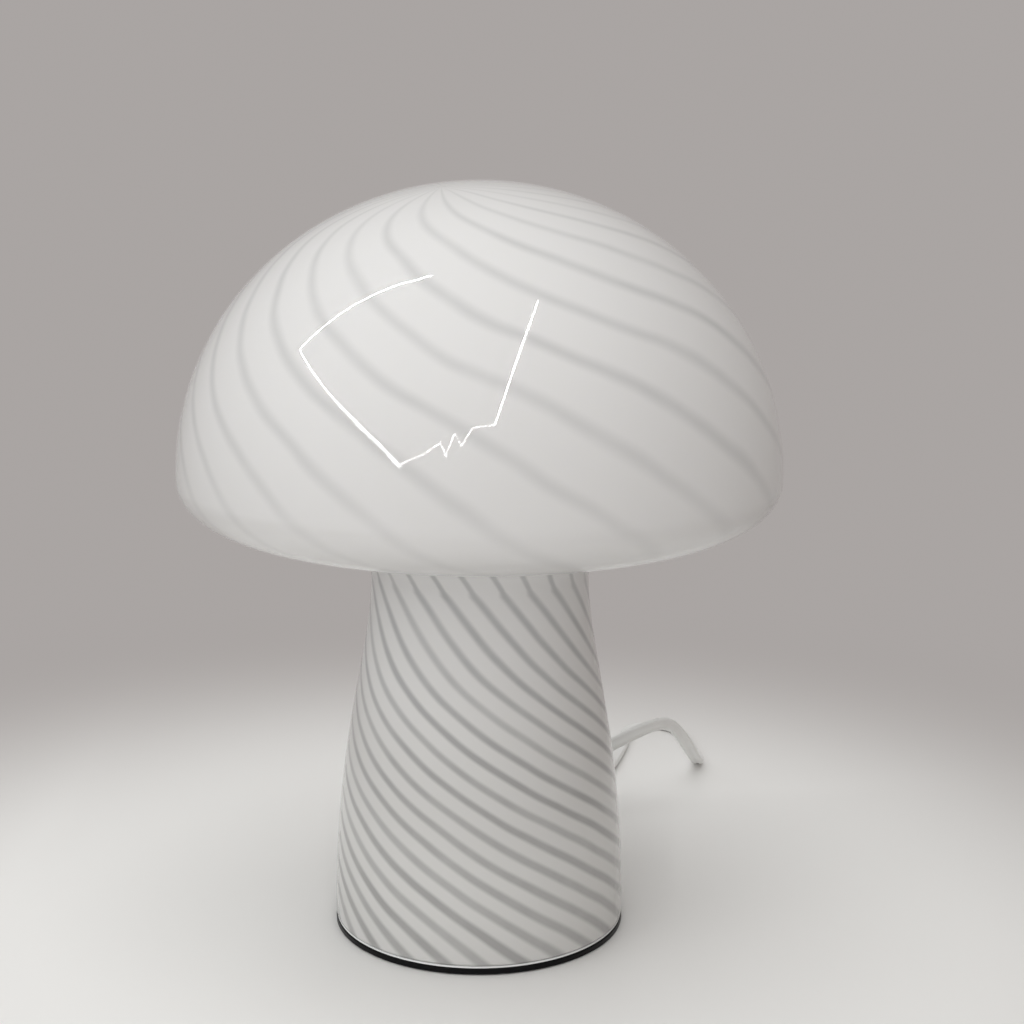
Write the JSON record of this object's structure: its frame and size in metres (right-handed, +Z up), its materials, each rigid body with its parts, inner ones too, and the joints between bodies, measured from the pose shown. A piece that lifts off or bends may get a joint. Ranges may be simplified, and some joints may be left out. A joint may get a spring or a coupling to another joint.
{
  "type": "mushroom table lamp",
  "caption": "Mushroom-shaped table lamp of swirled white glass on a black base, with lift-off glass body, screw-in bulb and rocker switch on its lead.",
  "frame": {"origin": "centre of the foot pad's underside, on the table", "axes": "+Z up along the stem, +Y to the back where the lead leaves, +X to the right seen from the front"},
  "size_m": [0.2, 0.3735, 0.2522],
  "materials": {
    "opal_glass": "polished",
    "clear_seal": "translucent",
    "black_steel": "gloss",
    "foot_pad": "matte",
    "plated_steel": "zinc plated",
    "spring_steel": "bright",
    "holder_plastic": "satin",
    "holder_ceramic": "glazed ceramic",
    "contact_metal": "bright",
    "brass": "bright",
    "copper_wire": "insulated wire",
    "solder": "dull",
    "bulb_insulator": "black glass",
    "bulb_metal": "satin",
    "bulb_plastic": "satin",
    "bulb_diffuser": "frosted",
    "light_board": "white lacquer",
    "light_chips": "phosphor",
    "circuit_board": "solder mask",
    "capacitor_can": "sleeved",
    "white_flex": "satin",
    "white_rubber": "satin",
    "tie_strap": "woven",
    "switch_plastic": "gloss",
    "rocker_plastic": "gloss",
    "plug_plastic": "satin"
  },
  "bodies": {
    "lamp_base": {"base_plate": "black_steel", "clip_nuts": "plated_steel", "clip_screws": "plated_steel", "clip_sleeves": "clear_seal", "clip_spring_1": "spring_steel", "clip_spring_2": "spring_steel", "clip_spring_3": "spring_steel", "coil_tie": "tie_strap", "coiled_lead": "white_flex", "feed_lead": "white_flex", "flat_washer": "plated_steel", "foot_pad": "foot_pad", "glass_gasket": "clear_seal", "holder_cap": "holder_plastic", "holder_core": "holder_ceramic", "holder_lock_screw": "plated_steel", "holder_screw_shell": "contact_metal", "holder_skirt": "holder_plastic", "holder_tip_contact": "brass", "holder_wires": "copper_wire", "inner_lead": "white_flex", "lock_washer": "plated_steel", "lower_nut": "plated_steel", "outer_lead": "white_flex", "plug_blades": "brass", "plug_body": "plug_plastic", "plug_lead": "white_flex", "rocker_pin": "plated_steel", "strain_relief": "white_rubber", "switch_bottom": "switch_plastic", "switch_screws": "plated_steel", "switch_terminals": "brass", "switch_top": "switch_plastic", "terminal_screws": "brass", "threaded_tube": "plated_steel", "upper_nut": "plated_steel"},
    "glass": {"glass_body": "opal_glass"},
    "bulb_contact": {"bulb_tip": "solder", "bulb_insulator": "bulb_insulator"},
    "bulb": {"bulb_screw_cap": "bulb_metal", "bulb_housing": "bulb_plastic", "bulb_globe": "bulb_diffuser", "led_board": "light_board", "led_chips": "light_chips", "driver_board": "circuit_board", "driver_capacitor": "capacitor_can"},
    "rocker": {"switch_rocker": "rocker_plastic", "rocker_bridge": "brass"}
  },
  "joints": [
    {"name": "glass_lift", "type": "slide", "parent": "lamp_base", "child": "glass", "axis": [0, 0, 1], "range_m": [0, 0.15]},
    {"name": "bulb_rise", "type": "slide", "parent": "lamp_base", "child": "bulb_contact", "axis": [0, 0, 1], "range_m": [0, 0.00907]},
    {"name": "bulb_turn", "type": "hinge", "parent": "bulb_contact", "child": "bulb", "pos_m": [0, 0, 0.09], "axis": [0, 0, 1], "range_deg": [0, 900]},
    {"name": "switch_press", "type": "hinge", "parent": "lamp_base", "child": "rocker", "pos_m": [0.002, 0.128, 0.0122], "axis": [0, 1, 0], "range_deg": [0, 20]}
  ],
  "couplings": [
    {"joint": "bulb_turn", "follows": "bulb_rise", "rad_per_m": 1731.6}
  ]
}
